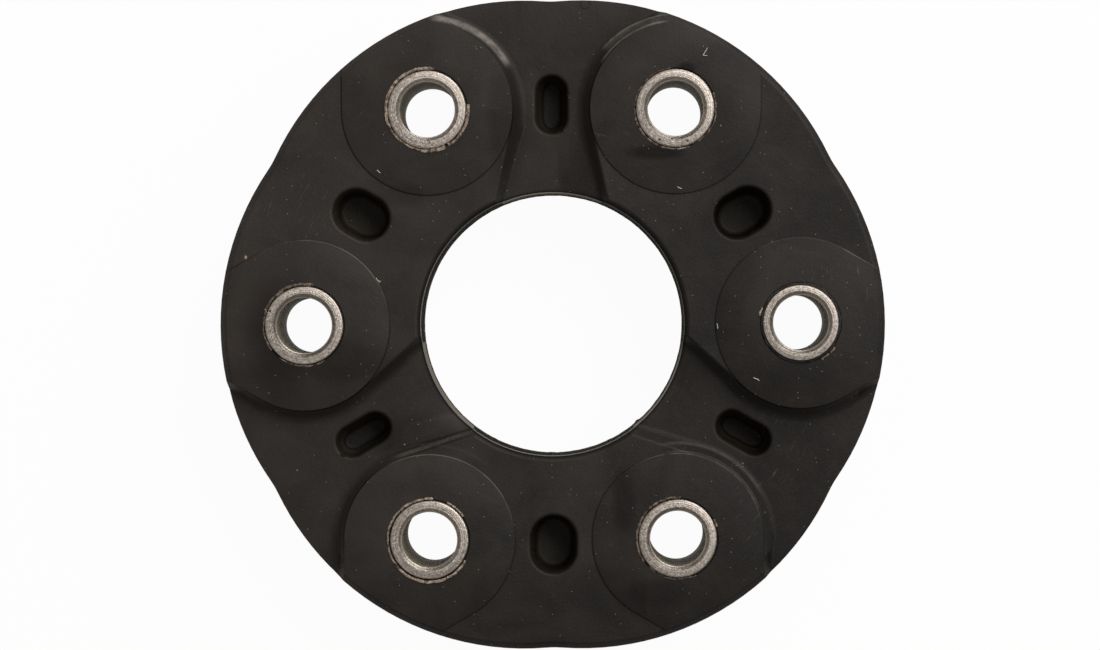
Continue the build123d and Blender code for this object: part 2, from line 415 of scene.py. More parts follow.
        scuffAndHighlight = mask if scuffAndHighlight is None else addNode(tree, "ShaderNodeMath", {"operation": "MAXIMUM"},
                                                 {0: scuffAndHighlight, 1: mask}).outputs[0]
    for start, end, half, strength in highlightStreaks:
        run = (end[0] - start[0], end[1] - start[1])
        middle = ((start[0] + end[0]) / 2 * mm, (start[1] + end[1]) / 2 * mm, 0)
        off = addNode(tree, "ShaderNodeVectorMath", {"operation": "SUBTRACT", 1: middle}, {0: place}).outputs[0]
        off = addNode(tree, "ShaderNodeVectorRotate", {"rotation_type": "Z_AXIS",
                      "Angle": -math.atan2(run[1], run[0])}, {"Vector": off}).outputs[0]
        off = addNode(tree, "ShaderNodeVectorMath", {"operation": "ABSOLUTE"}, {0: off}).outputs[0]
        sides = addNode(tree, "ShaderNodeSeparateXYZ", links={0: off}).outputs
        reach = math.hypot(run[0], run[1]) / 2 * mm
        along = addNode(tree, "ShaderNodeMapRange", {"interpolation_type": "SMOOTHSTEP", "From Min": reach,
                        "From Max": reach * 0.6}, {"Value": sides["X"]}).outputs[0]
        over = addNode(tree, "ShaderNodeMapRange", {"interpolation_type": "SMOOTHSTEP", "From Min": half * mm,
                       "From Max": half / 4 * mm, "To Max": strength}, {"Value": sides["Y"]}).outputs[0]
        mask = addNode(tree, "ShaderNodeMath", {"operation": "MULTIPLY"}, {0: along, 1: over}).outputs[0]
        mask = addNode(tree, "ShaderNodeMath", {"operation": "MULTIPLY"}, {0: mask, 1: boss["front"]}).outputs[0]
        scuffAndHighlight = addNode(tree, "ShaderNodeMath", {"operation": "MAXIMUM"}, {0: scuffAndHighlight, 1: mask}).outputs[0]
    scuffAndHighlight = addNode(tree, "ShaderNodeMath", {"operation": "MULTIPLY"}, {0: scuffAndHighlight, 1: fleck.outputs[0]}).outputs[0]
    layers.append((scuffAndHighlight, rubberLook["scuffAndHighlightTone"]))

    # fine scratches that follow the rim, a few here and there
    swept = addNode(tree, "ShaderNodeCombineXYZ", links={"X": boss["angle"], "Y": boss["radius"]}).outputs[0]
    swept = addNode(tree, "ShaderNodeMapping", {"Scale": (14, 2600, 1)}, {"Vector": swept}).outputs[0]
    hair = addNode(tree, "ShaderNodeTexNoise", {"Scale": 1, "Detail": 3, "Roughness": 0.6}, {"Vector": swept})
    hair = addNode(tree, "ShaderNodeMapRange", {"From Min": 0.62, "From Max": 0.72, "To Max": 0.28},
                   {"Value": hair.outputs["Fac"]}).outputs[0]
    rubbed = addNode(tree, "ShaderNodeVectorMath", {"operation": "DISTANCE", 1: (-52 * mm, 34 * mm, faceLevel)},
                     {0: place}).outputs["Value"]
    rubbed = addNode(tree, "ShaderNodeMapRange", {"From Min": 26 * mm, "From Max": 8 * mm, "To Max": 0.16},
                     {"Value": rubbed}).outputs[0]
    patch = addNode(tree, "ShaderNodeTexNoise", {"Scale": 30, "Detail": 2}, {"Vector": place}).outputs["Fac"]
    patch = addNode(tree, "ShaderNodeMath", {"operation": "ADD"}, {0: patch, 1: rubbed}).outputs[0]
    patch = addNode(tree, "ShaderNodeMapRange", {"From Min": 0.6, "From Max": 0.72}, {"Value": patch}).outputs[0]
    hair = addNode(tree, "ShaderNodeMath", {"operation": "MULTIPLY"}, {0: hair, 1: patch}).outputs[0]
    layers.append((hair, rubberLook["scuffAndHighlightTone"]))

    # dust: specks of 0.2 to 0.4 mm, a few in each square centimetre
    dust = None
    for spacing, size, share in rubberLook["dust"]:
        cells = addNode(tree, "ShaderNodeTexVoronoi", {"Scale": 1000 / spacing}, {"Vector": place})
        chance = addNode(tree, "ShaderNodeSeparateColor", links={0: cells.outputs["Color"]}).outputs[0]
        kept = addNode(tree, "ShaderNodeMath", {"operation": "GREATER_THAN", 1: share}, {0: chance}).outputs[0]
        speck = addNode(tree, "ShaderNodeMapRange", {"From Min": size / spacing, "From Max": size / spacing * 0.4},
                        {"Value": cells.outputs["Distance"]}).outputs[0]
        speck = addNode(tree, "ShaderNodeMath", {"operation": "MULTIPLY"}, {0: kept, 1: speck}).outputs[0]
        dust = speck if dust is None else addNode(tree, "ShaderNodeMath", {"operation": "MAXIMUM"},
                                                  {0: dust, 1: speck}).outputs[0]
    dust = addNode(tree, "ShaderNodeMath", {"operation": "MULTIPLY", 1: 0.7}, {0: dust}).outputs[0]
    layers.append((dust, rubberLook["dustTone"]))

    # a crumb of rust stuck to the boss on the left
    crumb = addNode(tree, "ShaderNodeVectorMath", {"operation": "SUBTRACT", 1: Vector(marks["crumb"]) * mm},
                    {0: place}).outputs[0]
    crumb = addNode(tree, "ShaderNodeVectorMath", {"operation": "MULTIPLY", 1: (1, 0.7, 1)}, {0: crumb}).outputs[0]
    crumb = addNode(tree, "ShaderNodeVectorMath", {"operation": "LENGTH"}, {0: crumb}).outputs["Value"]
    for size, crumbTone in marks["crumbCoats"]:
        share = addNode(tree, "ShaderNodeMapRange", {"From Min": size * mm, "From Max": size * 0.6 * mm},
                        {"Value": crumb}).outputs[0]
        layers.append((share, crumbTone))

    # the round mark of a mould vent, half of it on the rim's bevel
    vent = addNode(tree, "ShaderNodeVectorMath", {"operation": "DISTANCE",
                   1: (marks["vent"][0] * mm, marks["vent"][1] * mm, recessLevel)}, {0: place}).outputs["Value"]
    vent = addNode(tree, "ShaderNodeMath", {"operation": "SUBTRACT", 1: marks["ventRadius"] * mm},
                   {0: vent}).outputs[0]
    vent = addNode(tree, "ShaderNodeMath", {"operation": "ABSOLUTE"}, {0: vent}).outputs[0]
    vent = addNode(tree, "ShaderNodeMapRange", {"From Min": 0.22 * mm, "From Max": 0.08 * mm, "To Max": 0.85},
                   {"Value": vent}).outputs[0]
    layers.append((vent, marks["ventTone"]))

    for share, paint in layers:
        colour = addNode(tree, "ShaderNodeMix", {"data_type": "RGBA", 7: linearColour(paint)},
                         {0: share, 6: colour}).outputs[2]

    # the sheen: duller in the hole and on steep walls, and where it is stained
    sheen = addNode(tree, "ShaderNodeMapRange", {"To Min": 0.5, "To Max": 0.72}, {"Value": cloud.outputs["Fac"]})
    sheen = addNode(tree, "ShaderNodeMath", {"operation": "MAXIMUM"}, {0: sheen.outputs[0], 1: inHole})
    bloom = addNode(tree, "ShaderNodeMapRange", {"From Min": 0.36, "From Max": 0.64, "To Min": 0.25, "To Max": 0.34},
                    {"Value": cloud.outputs["Fac"]}).outputs[0]
    clean = addNode(tree, "ShaderNodeMath", {"operation": "MULTIPLY_ADD", 1: -0.8, 2: 1.0}, {0: stained}).outputs[0]
    gloss = addNode(tree, "ShaderNodeMath", {"operation": "MULTIPLY"}, {0: bloom, 1: clean}).outputs[0]
    gloss = addNode(tree, "ShaderNodeMath", {"operation": "MULTIPLY"}, {0: gloss, 1: faced}).outputs[0]
    shader = addNode(tree, "ShaderNodeBsdfPrincipled", {"IOR": 1.52},
                     {"Base Color": colour, "Roughness": sheen.outputs[0], "Specular IOR Level": gloss,
                      "Normal": bump.outputs["Normal"]})
    addNode(tree, "ShaderNodeOutputMaterial", links={"Surface": shader.outputs["BSDF"]})
    return material


steelLook = {
    "bright": "#ddd2c6",
    "dull": "#918479",
    "rust": "#4f3624",
    "boreTone": "#85795f",
    "skin": "#1d1814",
    "wornEdgeAndHighlight": "#efe9df",
}
# where the faces of the bushes have rusted most: place and reach in millimetres
rustPatches = [
    (22.2, 39.9, 4.5),
    (27.0, 38.6, 3.5),
    (-50.0, -7.0, 4.5),
    (-45.3, 0.5, 3.5),
    (-59.0, 3.0, 1.8),
    (-24.0, 38.6, 2.5),
    (27.0, -52.6, 3.0),
]


def steelMaterial():
    # Cold-drawn steel tube, faced in a lathe and worn: satin grey, pitted with rust,
    # and dull olive-brown down the bore.
    material, tree = newMaterial("turned mild steel")
    boss = bossFrame(tree)
    place = boss["place"]
    wear = addNode(tree, "ShaderNodeTexNoise", {"Scale": 1900, "Detail": 6, "Roughness": 0.75}, {"Vector": place})
    tone = addNode(tree, "ShaderNodeValToRGB", links={"Fac": wear.outputs["Fac"]})
    tone.color_ramp.elements[0].position = 0.34
    tone.color_ramp.elements[0].color = linearColour(steelLook["dull"])
    tone.color_ramp.elements[1].position = 0.6
    tone.color_ramp.elements[1].color = linearColour(steelLook["bright"])
    # rings left by the facing tool, in lighter and darker bands
    turned = addNode(tree, "ShaderNodeCombineXYZ", links={"X": boss["distance"], "Y": boss["angle"]}).outputs[0]
    turned = addNode(tree, "ShaderNodeMapping", {"Scale": (2300, 2.2, 1)}, {"Vector": turned}).outputs[0]
    bands = addNode(tree, "ShaderNodeTexNoise", {"Scale": 1, "Detail": 2}, {"Vector": turned})
    bands = addNode(tree, "ShaderNodeMapRange", {"From Min": 0.35, "From Max": 0.65, "To Min": 0.72, "To Max": 1.16},
                    {"Value": bands.outputs["Fac"]}).outputs[0]
    inChamfer = addNode(tree, "ShaderNodeMapRange", {"From Min": 6.66 * mm, "From Max": 6.6 * mm, "To Min": 1.0,
                        "To Max": 0.8}, {"Value": boss["distance"]}).outputs[0]
    bands = addNode(tree, "ShaderNodeMath", {"operation": "MULTIPLY"}, {0: bands, 1: inChamfer}).outputs[0]
    colour = addNode(tree, "ShaderNodeVectorMath", {"operation": "SCALE"},
                     {0: tone.outputs["Color"], "Scale": bands}).outputs[0]

    # rust in pits of a few tenths of a millimetre, in patches
    pits = addNode(tree, "ShaderNodeTexNoise", {"Scale": 1900, "Detail": 6, "Roughness": 0.8}, {"Vector": place})
    pits = addNode(tree, "ShaderNodeMapRange", {"From Min": 0.55, "From Max": 0.66}, {"Value": pits.outputs["Fac"]})
    patch = addNode(tree, "ShaderNodeTexNoise", {"Scale": 150, "Detail": 3}, {"Vector": place})
    patch = addNode(tree, "ShaderNodeMapRange", {"From Min": 0.44, "From Max": 0.6}, {"Value": patch.outputs["Fac"]})
    rust = addNode(tree, "ShaderNodeMath", {"operation": "MULTIPLY"},
                   {0: pits.outputs[0], 1: patch.outputs[0]}).outputs[0]

    # rust spots about half a millimetre across, where the faces have rusted most
    spots = addNode(tree, "ShaderNodeTexVoronoi", {"Scale": 700}, {"Vector": place})
    spots = addNode(tree, "ShaderNodeMapRange", {"From Min": 0.26, "From Max": 0.14},
                    {"Value": spots.outputs["Distance"]})
    blotch = None
    for x, y, reach in rustPatches:
        off = addNode(tree, "ShaderNodeVectorMath", {"operation": "DISTANCE", 1: (x * mm, y * mm, bushLevel)},
                      {0: place}).outputs["Value"]
        near = addNode(tree, "ShaderNodeMapRange", {"From Min": reach * mm, "From Max": reach * 0.5 * mm},
                       {"Value": off}).outputs[0]
        blotch = near if blotch is None else addNode(tree, "ShaderNodeMath", {"operation": "MAXIMUM"},
                                                     {0: blotch, 1: near}).outputs[0]
    spots = addNode(tree, "ShaderNodeMath", {"operation": "MULTIPLY"}, {0: spots.outputs[0], 1: blotch}).outputs[0]
    rust = addNode(tree, "ShaderNodeMath", {"operation": "MAXIMUM"}, {0: rust, 1: spots}).outputs[0]

    # a bright line round the bore's mouth, worn and with a painted highlight, and below it the wall is stained all
    # over
    layers = []              # share and tone of each coat
    mouthWearAndHighlight = addNode(tree, "ShaderNodeMapRange", {"From Min": 6.12 * mm, "From Max": 5.98 * mm, "To Max": 0.7},
                    {"Value": boss["distance"]}).outputs[0]
    layers.append((mouthWearAndHighlight, steelLook["wornEdgeAndHighlight"]))
    inBore = addNode(tree, "ShaderNodeMapRange", {"From Min": 5.92 * mm, "From Max": 5.87 * mm},
                     {"Value": boss["distance"]}).outputs[0]
    layers.append((inBore, steelLook["boreTone"]))
    layers.append((rust, steelLook["rust"]))

    # rubber skin over the outer edge of the first bush
    eastward = addNode(tree, "ShaderNodeSeparateXYZ", links={0: place}).outputs["X"]
    first = addNode(tree, "ShaderNodeMath", {"operation": "GREATER_THAN", 1: 43.5 * mm}, {0: eastward}).outputs[0]
    skin = addNode(tree, "ShaderNodeMapRange", {"From Min": 7.82 * mm, "From Max": 7.92 * mm},
                   {"Value": boss["distance"]}).outputs[0]
    skin = addNode(tree, "ShaderNodeMath", {"operation": "MULTIPLY"}, {0: skin, 1: first}).outputs[0]
    layers.append((skin, steelLook["skin"]))

    for share, paint in layers:
        colour = addNode(tree, "ShaderNodeMix", {"data_type": "RGBA", 7: linearColour(paint)},
                         {0: share, 6: colour}).outputs[2]

    # turning marks round the axis, coarser than the real 0.1 mm so that they show
    rings = addNode(tree, "ShaderNodeMath", {"operation": "MULTIPLY", 1: 16000}, {0: boss["distance"]}).outputs[0]
    rings = addNode(tree, "ShaderNodeMath", {"operation": "SINE"}, {0: rings}).outputs[0]
    relief = addNode(tree, "ShaderNodeMath", {"operation": "MULTIPLY_ADD", 1: 0.15},
                     {0: rings, 2: wear.outputs["Fac"]}).outputs[0]
    relief = addNode(tree, "ShaderNodeMath", {"operation": "SUBTRACT"}, {0: relief, 1: rust}).outputs[0]
    bump = addNode(tree, "ShaderNodeBump", {"Strength": 0.5, "Distance": 0.06 * mm}, {"Height": relief})

    dulled = addNode(tree, "ShaderNodeMath", {"operation": "MAXIMUM"}, {0: rust, 1: inBore}).outputs[0]
    dulled = addNode(tree, "ShaderNodeMath", {"operation": "MAXIMUM"}, {0: dulled, 1: skin}).outputs[0]
    satin = addNode(tree, "ShaderNodeMapRange", {"To Min": 0.4, "To Max": 0.75}, {"Value": dulled})
    metal = addNode(tree, "ShaderNodeMapRange", {"To Min": 1.0, "To Max": 0.15}, {"Value": dulled})
    shader = addNode(tree, "ShaderNodeBsdfPrincipled", None,
                     {"Base Color": colour, "Roughness": satin.outputs[0], "Metallic": metal.outputs[0],
                      "Normal": bump.outputs["Normal"]})
    addNode(tree, "ShaderNodeOutputMaterial", links={"Surface": shader.outputs["BSDF"]})
    return material


def cordMaterial():
    # Polyester cord, wound and rubberised: dull straw strands in black rubber.
    material, tree = newMaterial("rubberised polyester cord")
    place = addNode(tree, "ShaderNodeTexCoord").outputs["Object"]
    strands = addNode(tree, "ShaderNodeTexWave", {"bands_direction": "Z", "Scale": 250, "Distortion": 1},
                      {"Vector": place})
    tone = addNode(tree, "ShaderNodeValToRGB", links={"Fac": strands.outputs["Fac"]})
    tone.color_ramp.elements[0].color = linearColour("#2a2622")
    tone.color_ramp.elements[1].color = linearColour("#8a8068")
    shader = addNode(tree, "ShaderNodeBsdfPrincipled", {"Roughness": 0.8},
                     {"Base Color": tone.outputs["Color"]})
    addNode(tree, "ShaderNodeOutputMaterial", links={"Surface": shader.outputs["BSDF"]})
    return material


def skinMaterial(name, dark, middle, light):
    # Torn rubber skin: crumbs and threads, each a few tenths of a millimetre across.
    material, tree = newMaterial(name)
    place = addNode(tree, "ShaderNodeTexCoord").outputs["Object"]
    crumbs = addNode(tree, "ShaderNodeTexNoise", {"Scale": 1000, "Detail": 5, "Roughness": 0.7}, {"Vector": place})
    tone = addNode(tree, "ShaderNodeValToRGB", links={"Fac": crumbs.outputs["Fac"]})
    tone.color_ramp.elements[0].position = 0.4
    tone.color_ramp.elements[0].color = linearColour(dark)
    tone.color_ramp.elements[1].position = 0.62
    tone.color_ramp.elements[1].color = linearColour(light)
    between = tone.color_ramp.elements.new(0.5)
    between.color = linearColour(middle)
    bump = addNode(tree, "ShaderNodeBump", {"Strength": 0.6, "Distance": 0.1 * mm}, {"Height": crumbs.outputs["Fac"]})
    shader = addNode(tree, "ShaderNodeBsdfPrincipled", {"Roughness": 0.85},
                     {"Base Color": tone.outputs["Color"], "Normal": bump.outputs["Normal"]})
    addNode(tree, "ShaderNodeOutputMaterial", links={"Surface": shader.outputs["BSDF"]})
    return material


def lintMaterial():
    # Cotton fibre from a wiping cloth: dull off-white.
    material, tree = newMaterial("cotton lint")
    place = addNode(tree, "ShaderNodeTexCoord").outputs["Object"]
    fluff = addNode(tree, "ShaderNodeTexNoise", {"Scale": 2500, "Detail": 2}, {"Vector": place})
    tone = addNode(tree, "ShaderNodeValToRGB", links={"Fac": fluff.outputs["Fac"]})
    tone.color_ramp.elements[0].color = linearColour("#9d968c")
    tone.color_ramp.elements[1].color = linearColour("#e6e0d6")
    shader = addNode(tree, "ShaderNodeBsdfPrincipled", {"Roughness": 0.9}, {"Base Color": tone.outputs["Color"]})
    addNode(tree, "ShaderNodeOutputMaterial", links={"Surface": shader.outputs["BSDF"]})
    return material


rubber = rubberMaterial()
lintCotton = lintMaterial()
rustySkin = skinMaterial("rust-stained rubber skin", "#4a3b30", "#8a7866", "#b3a493")
brownSkin = skinMaterial("brown rubber skin", "#1d1713", "#54463a", "#8c7a6a")
rubbedFin = skinMaterial("rubbed rubber fin", "#2b2824", "#4b463f", "#7a736a")
steel = steelMaterial()
cordage = cordMaterial()
for name in windingNames:
    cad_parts[name].data.materials.clear()
    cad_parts[name].data.materials.append(cordage)
print("materials made")


# Rubber body: the CAD solid with its moulded edges rounded

body = {
    "stepTop": 0.5 * mm,
    "stepFoot": 1.4 * mm,
    "stepCorner": 0.25 * mm,
    "pocketMouth": 0.7 * mm,
    "pocketFloor": 0.9 * mm,
    "bevelledEdge": 0.4 * mm,
    "bushSeat": 0.4 * mm,
    "wideFloor": (0.76, 0.82),      # share of the mouth's width and length left at the floor
    "narrowFloor": (0.6, 0.8),
    "wallSlope": math.sin(math.radians(20)),
    "holeWaist": 27.7 * mm,         # the hole is narrowest at the parting plane
    "holeFrontEdge": 27.8 * mm,
    "holeBackEdge": 28.1 * mm,
}


def sectorPlace(point, side):
    # the nearest sector's middle: distance out, distance across, whether it is raised, and its turn
    sector = int(math.degrees(math.atan2(point.y, point.x)) % 360 // 60)
    middle = math.radians(30 + 60 * sector)
    out = point.x * math.cos(middle) + point.y * math.sin(middle)
    across = -point.x * math.sin(middle) + point.y * math.cos(middle)
    return out, across, (sector % 2 == 0) == (side > 0), middle


def offPocketWall(point, side):
    # how far a point is from the upright wall of its sector's pocket
    out, across, raised, middle = sectorPlace(point, side)
    width, length = (disc["widePocket"] if raised else disc["narrowPocket"])[:2]
    along = max(abs(out - disc["pocketDistance"]) - (length - width) / 2, 0)
    return abs(math.hypot(along, across) - width / 2)


def surfaceKind(face):
    # which moulded surface a face of the disc belongs to
    middle = face.calc_center_median()
    side = 1 if middle.z > 0 else -1
    lean = face.normal.z * side
    level = abs(middle.z)
    near = 0.03 * mm
    if lean > 0.999:
        if abs(level - faceLevel) < near or abs(level - recessLevel) < near:
            return "flat"
        depths = [faceLevel - disc["widePocket"][2], recessLevel - disc["narrowPocket"][2]]
        return "pocketFloor" if min(abs(level - d) for d in depths) < near else "inside"
    if abs(lean - body["wallSlope"]) < 0.03:
        return "stepWall"
    if abs(lean - math.sqrt(0.5)) < 0.03:
        return "bevel"
    if abs(lean) < 0.02:
        rims = [v.co for v in face.verts]
        if all(v.xy.length < disc["holeRadius"] + near for v in rims) or min(v.xy.length for v in rims) > 66 * mm:
            return "rim"
        if all(min(abs((v - c).xy.length - bushRadius) for c in bushCentres) < near for v in rims):
            return "seat" if max(abs(v.z) for v in rims) > recessLevel - near else "inside"
        if all(offPocketWall(v, side) < 0.06 * mm for v in rims):
            return "pocketWall"
    return "inside"


def makeRubberBody():
    mesh = bmesh.new()
    mesh.from_mesh(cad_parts["rubber_body"].data)
    bmesh.ops.remove_doubles(mesh, verts=mesh.verts, dist=0.002 * mm)
    bmesh.ops.dissolve_limit(mesh, angle_limit=math.radians(0.6), verts=mesh.verts, edges=mesh.edges)
    bmesh.ops.bisect_plane(mesh, geom=mesh.verts[:] + mesh.edges[:] + mesh.faces[:], dist=0.001 * mm,
                           plane_co=(0, 0, 0), plane_no=(0, 0, 1))
    mesh.normal_update()
    weights = mesh.edges.layers.float.new("bevel_weight_edge")

    kinds = {face: surfaceKind(face) for face in mesh.faces}
    rounding = {
        frozenset(("flat", "stepWall")): None,      # stepTop where the edge stands out, stepFoot where it doesn't
        frozenset(("flat", "pocketWall")): "pocketMouth",
        frozenset(("pocketFloor", "pocketWall")): "pocketFloor",
        frozenset(("flat", "bevel")): "bevelledEdge",
        frozenset(("rim", "bevel")): "bevelledEdge",
        frozenset(("flat", "seat")): "bushSeat",
        frozenset(("stepWall", "bevel")): "stepCorner",
        frozenset(("stepWall", "rim")): "stepCorner",
    }
    chosen = {}
    for edge in mesh.edges:
        if len(edge.link_faces) != 2:
            continue
        pair = frozenset(kinds[f] for f in edge.link_faces)
        if pair not in rounding:
            continue
        size = rounding[pair] or ("stepTop" if edge.is_convex else "stepFoot")
        chosen.setdefault(size, []).append(edge)
    print("rubber edges:", {size: len(edges) for size, edges in chosen.items()})

    # the hole's wall leans out from the parting plane to both faces
    for v in mesh.verts:
        if v.co.xy.length < disc["holeRadius"] + 0.03 * mm:
            share = abs(v.co.z) / (faceLevel - 1.1 * mm)
            edge = body["holeFrontEdge"] if v.co.z > 0 else body["holeBackEdge"]
            radius = body["holeWaist"] + share * (edge - body["holeWaist"])
            v.co.xy = v.co.xy.normalized() * radius

    # the pockets' walls lean in towards their floors
    floors = {v for f in mesh.faces if kinds[f] == "pocketFloor" for v in f.verts}
    for v in floors:
        side = 1 if v.co.z > 0 else -1
        out, across, raised, middle = sectorPlace(v.co, side)
        narrowing, shortening = body["wideFloor"] if raised else body["narrowFloor"]
        out = disc["pocketDistance"] + (out - disc["pocketDistance"]) * shortening
        across *= narrowing
        v.co.x = out * math.cos(middle) - across * math.sin(middle)
        v.co.y = out * math.sin(middle) + across * math.cos(middle)

    largest = max(body[size] for size in chosen)
    for size, edges in chosen.items():
        for edge in edges:
            edge[weights] = body[size] / largest
    return mesh, largest


mesh, largestRound = makeRubberBody()
rubberPiece = addPiece("rubberDisc", mesh, rubber)
rounder = rubberPiece.modifiers.new("MouldedRoundings", "BEVEL")
rounder.limit_method = "WEIGHT"
rounder.width = largestRound
rounder.segments = 3
rounder.use_clamp_overlap = False
rounder.miter_outer = "MITER_ARC"
flatter = rubberPiece.modifiers.new("FlatFacesStayFlat", "WEIGHTED_NORMAL")
flatter.keep_sharp = True
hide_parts("rubber_body")
print("rubber body made")


# Boss pads: each boss's face stands a third of a millimetre over the sectors beside it

padShape = {
    "rise": 0.32 * mm,
    "sunk": 0.3 * mm,
    "edgeRound": 0.24 * mm,
    "innerRadius": 8.65 * mm,
    "rimCentre": 12.25 * mm,        # the rim beside a boss is an arc about this point
    "rimRadius": 56.85 * mm,
    "arcStep": 3,                   # degrees
}


def makePad():
    # one pad, drawn on the +X boss as an outline and a hole, filled, raised and rounded
    mesh = bmesh.new()
    centre = Vector((pitchRadius, 0, 0))
    lean = math.radians(disc["outwardFlank"])
    radius = disc["bossRadius"]
    touch = centre + radius * Vector((math.sin(lean), math.cos(lean), 0))
    rimCentre = Vector((padShape["rimCentre"], 0, 0))
    away = Vector((math.cos(lean), -math.sin(lean), 0))
    start = touch - rimCentre
    reach = start.dot(away)
    run = -reach + math.sqrt(reach ** 2 - start.length_squared + padShape["rimRadius"] ** 2)
    corner = touch + run * away

    def sweep(point, about, angle):
        first = mesh.verts.new(point)
        steps = max(int(abs(math.degrees(angle)) / padShape["arcStep"]), 4)
        swept = bmesh.ops.spin(mesh, geom=[first], cent=about, axis=(0, 0, 1), angle=angle, steps=steps)
        return first, [v for v in swept["geom_last"] if isinstance(v, bmesh.types.BMVert)][0]

    bossStart, bossEnd = sweep(touch, centre, math.tau - 2 * (math.pi / 2 - lean))
    across = 2 * math.atan2(corner.y, corner.x - rimCentre.x)
    rimStart, rimEnd = sweep((corner.x, -corner.y, 0), rimCentre, across)
    mesh.edges.new((bossEnd, rimStart))
    mesh.edges.new((rimEnd, bossStart))
    bmesh.ops.create_circle(mesh, cap_ends=False, segments=96, radius=padShape["innerRadius"],
                            matrix=Matrix.Translation(centre))
    bmesh.ops.triangle_fill(mesh, use_beauty=True, edges=mesh.edges[:])
    bmesh.ops.translate(mesh, verts=mesh.verts, vec=(0, 0, faceLevel - padShape["sunk"]))
    raised = bmesh.ops.extrude_face_region(mesh, geom=mesh.faces[:])
    lifted = [part for part in raised["geom"] if isinstance(part, bmesh.types.BMVert)]
    bmesh.ops.translate(mesh, verts=lifted, vec=(0, 0, padShape["rise"] + padShape["sunk"]))
    bmesh.ops.recalc_face_normals(mesh, faces=mesh.faces)
    top = faceLevel + padShape["rise"] - 0.01 * mm
    edges = [e for e in mesh.edges if all(v.co.z > top for v in e.verts)
             and e.calc_face_angle(0) > 1 and (e.verts[0].co - centre).xy.length > 10 * mm]
    bmesh.ops.bevel(mesh, geom=edges, offset=padShape["edgeRound"], affect="EDGES", segments=2,
                    profile=0.5, material=-1)
    data = bpy.data.meshes.new("pad")
    mesh.to_mesh(data)
    mesh.free()
    return data


def makeBossPads():
    pad = makePad()
    mesh = bmesh.new()
    for over in (0, math.pi):
        for i in range(6):
            known = set(mesh.verts)
            mesh.from_mesh(pad)
            fresh = [v for v in mesh.verts if v not in known]
            turned = Matrix.Rotation(math.radians(60 * i), 4, "Z") @ Matrix.Rotation(over, 4, "X")
            bmesh.ops.transform(mesh, matrix=turned, verts=fresh)
    bpy.data.meshes.remove(pad)
    return mesh


addPiece("bossPads", makeBossPads(), rubber, sharpAngle=28)
print("boss pads made")


# Lint: short pale fibres caught on the rubber

lint = {"radius": 0.085 * mm, "sides": 6}
# place, level, heading in degrees, length, bend in degrees
fibres = [
    ((-36.9, 32.8), 16.52, -50, 1.0, 10),
    ((32.1, 56.6), 16.55, 52, 1.9, 10),
    ((32.1, 56.6), 16.55, -10, 0.9, 10),
    ((26.6, 28.9), 16.52, -45, 1.0, 30),
    ((34.9, -1.2), 16.52, 80, 1.2, 30),
    ((42.4, -11.6), 16.46, -13, 1.4, -20),
    ((-37.2, 9.95), 16.52, -65, 1.2, 25),
]


def makeLint():
    mesh = bmesh.new()
    for (x, y), level, heading, length, bend in fibres:
        start = Matrix.Translation((x * mm, y * mm, level * mm + lint["radius"] * 0.8))
        start = start @ Matrix.Rotation(math.radians(heading), 4, "Z") @ Matrix.Rotation(math.pi / 2, 4, "Y")
        ring = bmesh.ops.create_circle(mesh, cap_ends=True, segments=lint["sides"], radius=lint["radius"],
                                       matrix=start)["verts"]
        tip = [f for f in ring[0].link_faces]
        direction = math.radians(heading)
        for _ in range(5):
            direction += math.radians(bend) / 5
            grown = bmesh.ops.extrude_face_region(mesh, geom=tip)["geom"]
            bmesh.ops.delete(mesh, geom=tip, context="FACES_ONLY")
            tip = [part for part in grown if isinstance(part, bmesh.types.BMFace)]
            step = Vector((math.cos(direction), math.sin(direction), 0)) * length * mm / 5
            bmesh.ops.translate(mesh, verts=tip[0].verts[:], vec=step)
    bmesh.ops.recalc_face_normals(mesh, faces=mesh.faces)
    return mesh


addPiece("lint", makeLint(), lintCotton, sharpAngle=60)
print("lint made")


# Parting flash: the thin fin of rubber squeezed between the mould halves, inside the hole

flash = {
    "radius": 27.53 * mm,
    "root": 27.9 * mm,
    "thickness": 0.35 * mm,
    "steps": 240,
    "raggedness": 0.06 * mm,
    "nubAngle": -50,         # degrees, where the fin has a torn nub
    "nubReach": 0.5 * mm,
}


def makePartingFlash():
    mesh = bmesh.new()
    half = flash["thickness"] / 2
    corners = [(flash["root"], -half), (flash["radius"], -half / 2),
               (flash["radius"], half / 2), (flash["root"], half)]
    loop = [mesh.verts.new((x, 0, z)) for x, z in corners]
    edges = [mesh.edges.new((loop[i - 1], loop[i])) for i in range(4)]
    bmesh.ops.spin(mesh, geom=loop + edges, cent=(0, 0, 0), axis=(0, 0, 1), angle=math.tau,
                   steps=flash["steps"], use_merge=True)
    bmesh.ops.remove_doubles(mesh, verts=mesh.verts, dist=0.001 * mm)
    bmesh.ops.recalc_face_normals(mesh, faces=mesh.faces)
    nub = math.radians(flash["nubAngle"])
    for v in mesh.verts:
        if v.co.xy.length < flash["root"] - 0.1 * mm:
            angle = math.atan2(v.co.y, v.co.x)
            ragged = noise.noise(v.co * 900) + 0.6 * noise.noise(v.co * 3000)
            reach = flash["nubReach"] * math.exp(-((angle - nub) / 0.012) ** 2)
            v.co.xy -= v.co.xy.normalized() * (flash["raggedness"] * ragged + reach)
    return mesh


addPiece("partingFlash", makePartingFlash(), rubbedFin, sharpAngle=40)
print("parting flash made")


# Bushes: steel sleeves with a rounded outer edge and a bevelled bore mouth

bush = {
    "boreRadius": 5.85 * mm,
    "outerRound": 0.4 * mm,
    "outerSegments": 3,
    "mouthBevel": 0.8 * mm,
    "steps": 96,
}


